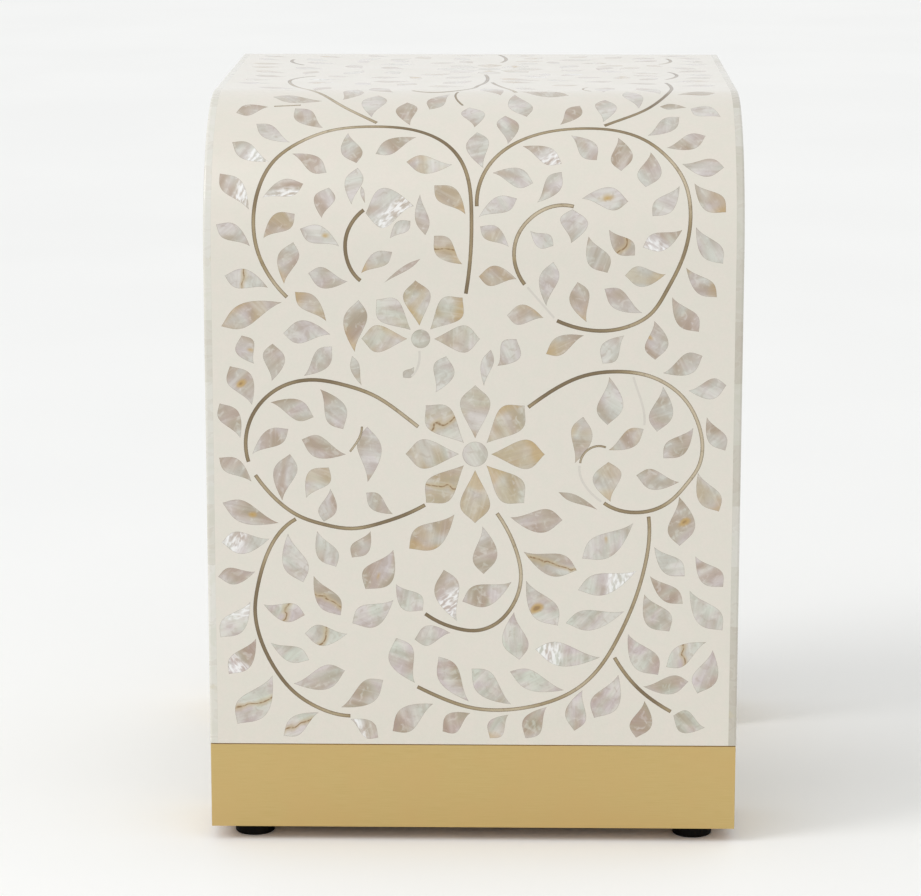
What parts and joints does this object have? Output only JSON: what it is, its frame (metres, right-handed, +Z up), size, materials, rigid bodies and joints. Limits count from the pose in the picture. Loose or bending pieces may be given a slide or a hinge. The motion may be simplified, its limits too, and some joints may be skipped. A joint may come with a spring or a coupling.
{
  "type": "side table",
  "caption": "Inverted-U side table with a rounded front edge, shell and brass vine inlay set in ivory resin, brass-clad plinths and screw-adjustable feet.",
  "frame": {"origin": "centre of the footprint on the floor", "axes": "+X to the right seen from the front, +Y to the back, +Z up"},
  "size_m": [0.4, 0.4, 0.563],
  "materials": {
    "ivory_resin": "polished",
    "shell_leaf": "polished mother-of-pearl",
    "shell_petal": "polished mother-of-pearl",
    "shell_border": "polished shell",
    "vine_brass": "aged",
    "band_brass": "brushed",
    "ivory_lacquer": "satin ivory lacquer",
    "carcass_wood": "raw",
    "steel": "zinc plated",
    "black_pad": "matte"
  },
  "bodies": {
    "root": {"back_bottom_rail": "carcass_wood", "back_brass_band": "band_brass", "back_corner_rail": "carcass_wood", "back_edge_border_strips": "shell_border", "back_foot_inserts": "steel", "back_inner_panel": "ivory_lacquer", "back_leaf_inlays": "shell_leaf", "back_outer_panel": "carcass_wood", "back_plinth_blocks": "carcass_wood", "back_plinth_rails": "carcass_wood", "back_plinth_screws": "steel", "back_resin_skin": "ivory_resin", "back_stiles": "carcass_wood", "back_vine_strips": "vine_brass", "corner_bent_panel": "carcass_wood", "corner_dowels": "carcass_wood", "corner_inner_cove": "ivory_lacquer", "corner_leaf_inlays": "shell_leaf", "corner_resin_skin": "ivory_resin", "corner_ribs": "carcass_wood", "corner_vine_strips": "vine_brass", "flower_disc_inlays": "shell_petal", "flower_petal_inlays": "shell_petal", "front_bottom_rail": "carcass_wood", "front_brass_band": "band_brass", "front_foot_inserts": "steel", "front_inner_panel": "ivory_lacquer", "front_leaf_inlays": "shell_leaf", "front_outer_panel": "carcass_wood", "front_plinth_blocks": "carcass_wood", "front_plinth_rails": "carcass_wood", "front_plinth_screws": "steel", "front_resin_skin": "ivory_resin", "front_stiles": "carcass_wood", "front_vine_strips": "vine_brass", "left_border_strips": "shell_border", "left_side_leaf_inlays": "shell_leaf", "left_side_resin_skin": "ivory_resin", "left_side_vine_strips": "vine_brass", "right_border_strips": "shell_border", "right_side_leaf_inlays": "shell_leaf", "right_side_resin_skin": "ivory_resin", "right_side_vine_strips": "vine_brass", "soffit_panel": "ivory_lacquer", "top_leaf_inlays": "shell_leaf", "top_middle_rib": "carcass_wood", "top_panel": "carcass_wood", "top_resin_skin": "ivory_resin", "top_side_rails": "carcass_wood", "top_vine_strips": "vine_brass"},
    "front_left_pad": {"front_left_foot_pad": "black_pad"},
    "front_left_stud": {"front_left_foot_stud": "steel"},
    "front_right_pad": {"front_right_foot_pad": "black_pad"},
    "front_right_stud": {"front_right_foot_stud": "steel"},
    "back_left_pad": {"back_left_foot_pad": "black_pad"},
    "back_left_stud": {"back_left_foot_stud": "steel"},
    "back_right_pad": {"back_right_foot_pad": "black_pad"},
    "back_right_stud": {"back_right_foot_stud": "steel"}
  },
  "joints": [
    {"name": "front_left_level", "type": "slide", "parent": "root", "child": "front_left_pad", "axis": [0, 0, -1], "range_m": [0, 0.01]},
    {"name": "front_left_turn", "type": "hinge", "parent": "front_left_pad", "child": "front_left_stud", "pos_m": [-0.1685, -0.174, 0], "axis": [0, 0, -1], "range_deg": [-90, 2970]},
    {"name": "front_right_level", "type": "slide", "parent": "root", "child": "front_right_pad", "axis": [0, 0, -1], "range_m": [0, 0.01]},
    {"name": "front_right_turn", "type": "hinge", "parent": "front_right_pad", "child": "front_right_stud", "pos_m": [0.1685, -0.174, 0], "axis": [0, 0, -1], "range_deg": [-90, 2970]},
    {"name": "back_left_level", "type": "slide", "parent": "root", "child": "back_left_pad", "axis": [0, 0, -1], "range_m": [0, 0.01]},
    {"name": "back_left_turn", "type": "hinge", "parent": "back_left_pad", "child": "back_left_stud", "pos_m": [-0.1685, 0.174, 0], "axis": [0, 0, -1], "range_deg": [-90, 2970]},
    {"name": "back_right_level", "type": "slide", "parent": "root", "child": "back_right_pad", "axis": [0, 0, -1], "range_m": [0, 0.01]},
    {"name": "back_right_turn", "type": "hinge", "parent": "back_right_pad", "child": "back_right_stud", "pos_m": [0.1685, 0.174, 0], "axis": [0, 0, -1], "range_deg": [-90, 2970]}
  ],
  "couplings": [
    {"joint": "front_left_turn", "follows": "front_left_level", "rad_per_m": 5026.5},
    {"joint": "front_right_turn", "follows": "front_right_level", "rad_per_m": 5026.5},
    {"joint": "back_left_turn", "follows": "back_left_level", "rad_per_m": 5026.5},
    {"joint": "back_right_turn", "follows": "back_right_level", "rad_per_m": 5026.5}
  ]
}
